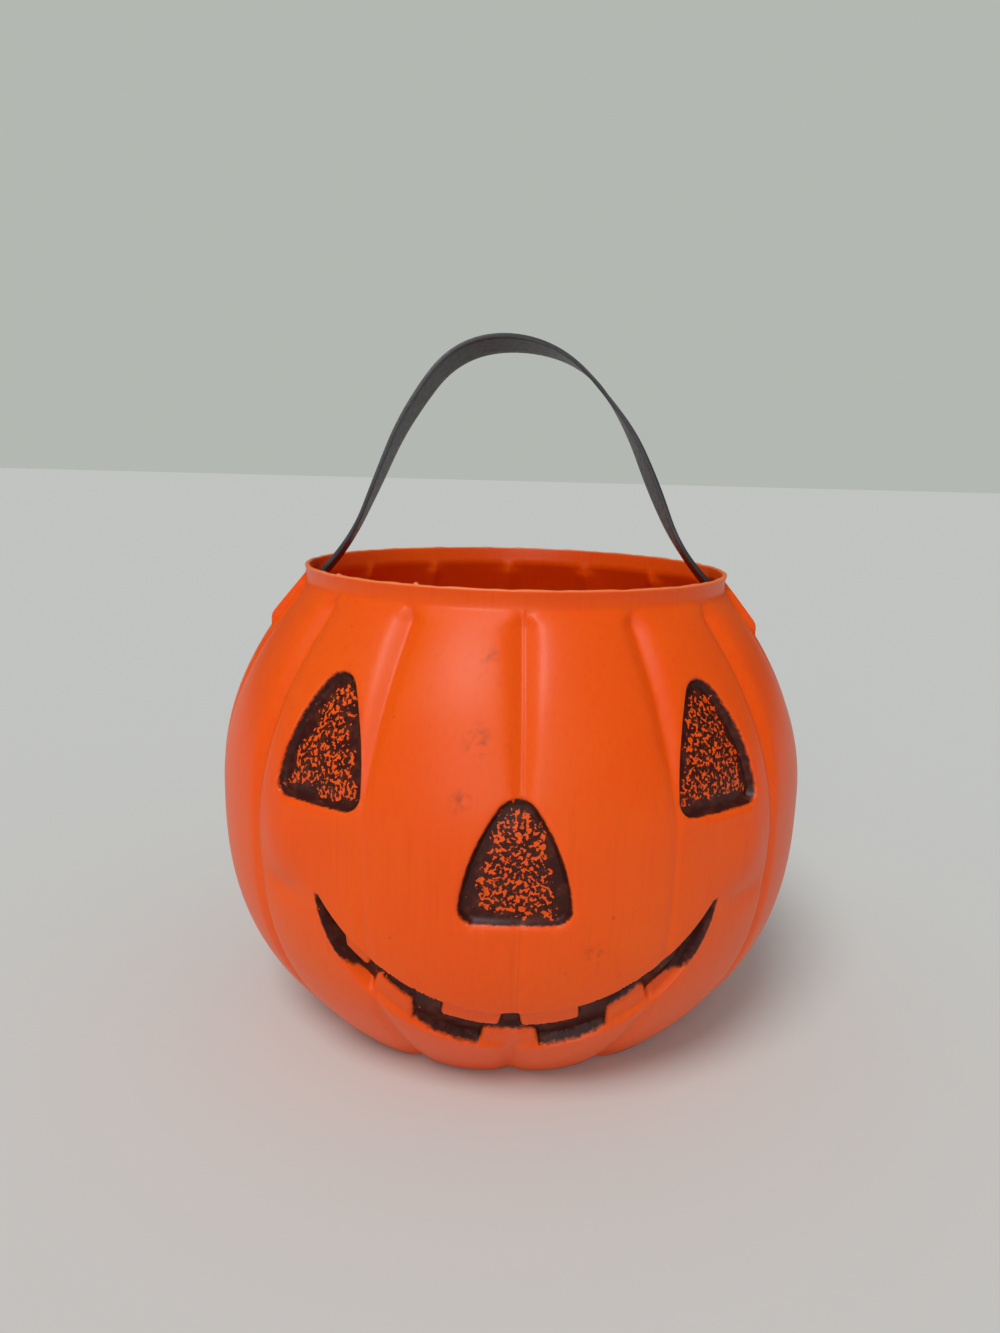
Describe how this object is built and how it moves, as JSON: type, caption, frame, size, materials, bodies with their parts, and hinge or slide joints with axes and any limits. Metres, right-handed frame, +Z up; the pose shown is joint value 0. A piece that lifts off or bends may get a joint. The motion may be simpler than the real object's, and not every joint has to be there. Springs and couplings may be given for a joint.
{
  "type": "pumpkin candy pail",
  "caption": "Hollow pumpkin-shaped candy pail with ribbed lobes, a sunken jack-o'-lantern face and a swinging flat strap handle held by studs in ear-like bumps.",
  "frame": {"origin": "middle of the foot, on the table plane", "axes": "+Z up along the pail's axis, the face looks along -Y, the handle's studs lie along X"},
  "size_m": [0.2142, 0.2128, 0.2492],
  "materials": {
    "orange_shell": "satin blow-moulded polyethylene, with worn brown-black paint in the face's recesses",
    "black_strap": "plain charcoal-black flexible plastic"
  },
  "bodies": {
    "pail": {"pail_shell": "orange_shell"},
    "handle": {"strap_handle": "black_strap"}
  },
  "joints": [
    {"name": "handle_swing", "type": "hinge", "parent": "pail", "child": "handle", "pos_m": [0, 0, 0.1434], "axis": [1, 0, 0], "range_deg": [-36, 68]}
  ]
}
